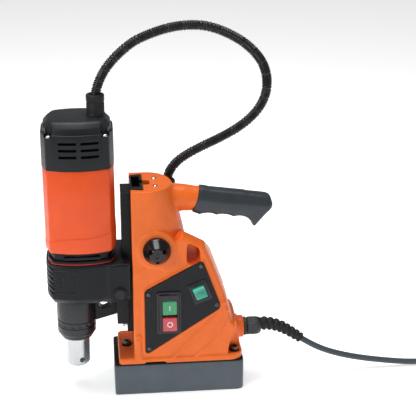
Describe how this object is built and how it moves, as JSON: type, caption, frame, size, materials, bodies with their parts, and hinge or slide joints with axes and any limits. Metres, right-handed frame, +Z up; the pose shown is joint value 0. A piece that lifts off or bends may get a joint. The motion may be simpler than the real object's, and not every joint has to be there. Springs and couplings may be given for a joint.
{
  "type": "magnetic drill press",
  "caption": "Portable drill press on an electromagnet base: a rack-fed motor and gearbox on a dovetail guide, with switches, handle, conduit loop and mains cord.",
  "frame": {"origin": "middle of the electromagnet's bottom face", "axes": "+Z up, +X towards the handle and the cord, the control panel on the -Y side, the motor and spindle towards -X"},
  "size_m": [0.6449, 0.1814, 0.4842],
  "materials": {
    "arbor_set_screw_1": "hardened steel, oiled",
    "arbor_set_screw_2": "hardened steel, oiled",
    "armature": "laminated core with windings",
    "base_bolt_far": "bright steel",
    "base_bolt_front": "bright steel",
    "base_bolt_near": "bright steel",
    "base_gasket": "thin black sheet",
    "bend_protector": "black spiral sleeve",
    "brush_far": "brush holder",
    "brush_near": "brush holder",
    "cable_boot": "black boot",
    "cable_gland": "black gland body",
    "cap_screw_1": "bright steel",
    "cap_screw_2": "bright steel",
    "cap_screw_3": "bright steel",
    "cap_screw_4": "bright steel",
    "carriage_plug": "black plug",
    "conduit_hose": "black corrugated hose",
    "control_board": "green circuit board",
    "control_panel": "black, fine grain",
    "feed_bush_far": "bronze bush",
    "feed_bush_near": "bronze bush",
    "feed_hub": "gloss black",
    "feed_rack": "bright steel",
    "feed_shaft": "bright steel",
    "frame_casting": "cast, orange powder coat with a light grain",
    "gearbox_gasket": "red gasket",
    "gearbox_housing": "cast, black paint",
    "gearbox_neck": "cast, black paint",
    "gib_screw_1": "bright steel",
    "gib_screw_2": "bright steel",
    "gib_strip": "bronze gib",
    "gland_nut": "dark grey gland nut",
    "handle_grip": "dark slate moulded grip",
    "hose_gland": "black fitting",
    "idler_gears": "hardened steel, oiled",
    "magnet_coil": "enamelled copper winding",
    "magnet_housing": "slate grey paint, ground bottom face",
    "magnet_potting": "black potting resin",
    "magnet_rocker": "teal, translucent look",
    "magnet_switch_body": "black switch moulding",
    "mains_coil": "dark grey cord, coiled",
    "mains_cord": "dark grey cord",
    "mains_plug": "black plug",
    "motor_end_cap": "black moulded shell, satin",
    "motor_fan": "black fan",
    "motor_housing": "red-orange moulded shell, satin",
    "motor_switch_body": "black switch moulding",
    "panel_screw_1": "bright steel",
    "panel_screw_2": "bright steel",
    "panel_screw_3": "bright steel",
    "panel_screw_4": "bright steel",
    "quill": "blackened, satin",
    "slide": "blackened dovetail bar",
    "spindle_arbor": "bright steel",
    "spindle_gear": "hardened steel, oiled",
    "start_button": "green",
    "stator": "laminated core",
    "stop_button": "red",
    "support_bracket": "cast, black paint"
  },
  "bodies": {
    "frame": {"base_bolt_far": "base_bolt_far", "base_bolt_front": "base_bolt_front", "base_bolt_near": "base_bolt_near", "base_gasket": "base_gasket", "bend_protector": "bend_protector", "cable_gland": "cable_gland", "conduit_hose": "conduit_hose", "control_board": "control_board", "control_panel": "control_panel", "feed_bush_far": "feed_bush_far", "feed_bush_near": "feed_bush_near", "frame_casting": "frame_casting", "gib_screw_1": "gib_screw_1", "gib_screw_2": "gib_screw_2", "gib_strip": "gib_strip", "gland_nut": "gland_nut", "handle_grip": "handle_grip", "hose_gland": "hose_gland", "magnet_coil": "magnet_coil", "magnet_housing": "magnet_housing", "magnet_potting": "magnet_potting", "magnet_switch_body": "magnet_switch_body", "mains_coil": "mains_coil", "mains_cord": "mains_cord", "mains_plug": "mains_plug", "motor_switch_body": "motor_switch_body", "panel_screw_1": "panel_screw_1", "panel_screw_2": "panel_screw_2", "panel_screw_3": "panel_screw_3", "panel_screw_4": "panel_screw_4"},
    "carriage": {"slide": "slide", "feed_rack": "feed_rack", "gearbox_housing": "gearbox_housing", "carriage_plug": "carriage_plug", "support_bracket": "support_bracket", "gearbox_gasket": "gearbox_gasket", "gearbox_neck": "gearbox_neck", "quill": "quill", "motor_housing": "motor_housing", "motor_end_cap": "motor_end_cap", "cap_screw_1": "cap_screw_1", "cap_screw_2": "cap_screw_2", "cap_screw_3": "cap_screw_3", "cap_screw_4": "cap_screw_4", "cable_boot": "cable_boot", "stator": "stator", "brush_near": "brush_near", "brush_far": "brush_far"},
    "armature": {"armature": "armature", "motor_fan": "motor_fan"},
    "idler": {"idler_gears": "idler_gears"},
    "spindle": {"spindle_arbor": "spindle_arbor", "spindle_gear": "spindle_gear", "arbor_set_screw_1": "arbor_set_screw_1", "arbor_set_screw_2": "arbor_set_screw_2"},
    "feed": {"feed_hub": "feed_hub", "feed_shaft": "feed_shaft"},
    "start_button": {"start_button": "start_button"},
    "stop_button": {"stop_button": "stop_button"},
    "magnet_rocker": {"magnet_rocker": "magnet_rocker"}
  },
  "joints": [
    {"name": "carriage_slide", "type": "slide", "parent": "frame", "child": "carriage", "axis": [0, 0, 1], "range_m": [-0.012, 0.105], "deforming": ["conduit_hose"]},
    {"name": "feed_turn", "type": "hinge", "parent": "frame", "child": "feed", "pos_m": [-0.0277, -0.043, 0.2025], "axis": [0, 1, 0], "range_deg": [-55, 450]},
    {"name": "spindle_spin", "type": "hinge", "parent": "carriage", "child": "spindle", "pos_m": [-0.1325, 0, 0.1], "axis": [0, 0, 1], "continuous": true},
    {"name": "idler_spin", "type": "hinge", "parent": "carriage", "child": "idler", "pos_m": [-0.10185, 0.01223, 0.16], "axis": [0, 0, 1], "continuous": true},
    {"name": "armature_spin", "type": "hinge", "parent": "carriage", "child": "armature", "pos_m": [-0.1225, 0, 0.25], "axis": [0, 0, 1], "continuous": true},
    {"name": "start_press", "type": "slide", "parent": "frame", "child": "start_button", "axis": [0, 1, 0], "range_m": [0, 0.003], "stiffness_N_per_m": 300},
    {"name": "stop_press", "type": "slide", "parent": "frame", "child": "stop_button", "axis": [0, 1, 0], "range_m": [0, 0.003], "stiffness_N_per_m": 300},
    {"name": "rocker_tilt", "type": "hinge", "parent": "frame", "child": "magnet_rocker", "pos_m": [0.0267, -0.0448, 0.144], "axis": [0.9336, 0, 0.3584], "range_deg": [-10, 0]}
  ],
  "couplings": [
    {"joint": "feed_turn", "follows": "carriage_slide", "rad_per_m": 74.074},
    {"joint": "idler_spin", "follows": "spindle_spin", "ratio": -3.4},
    {"joint": "armature_spin", "follows": "spindle_spin", "ratio": 17}
  ]
}
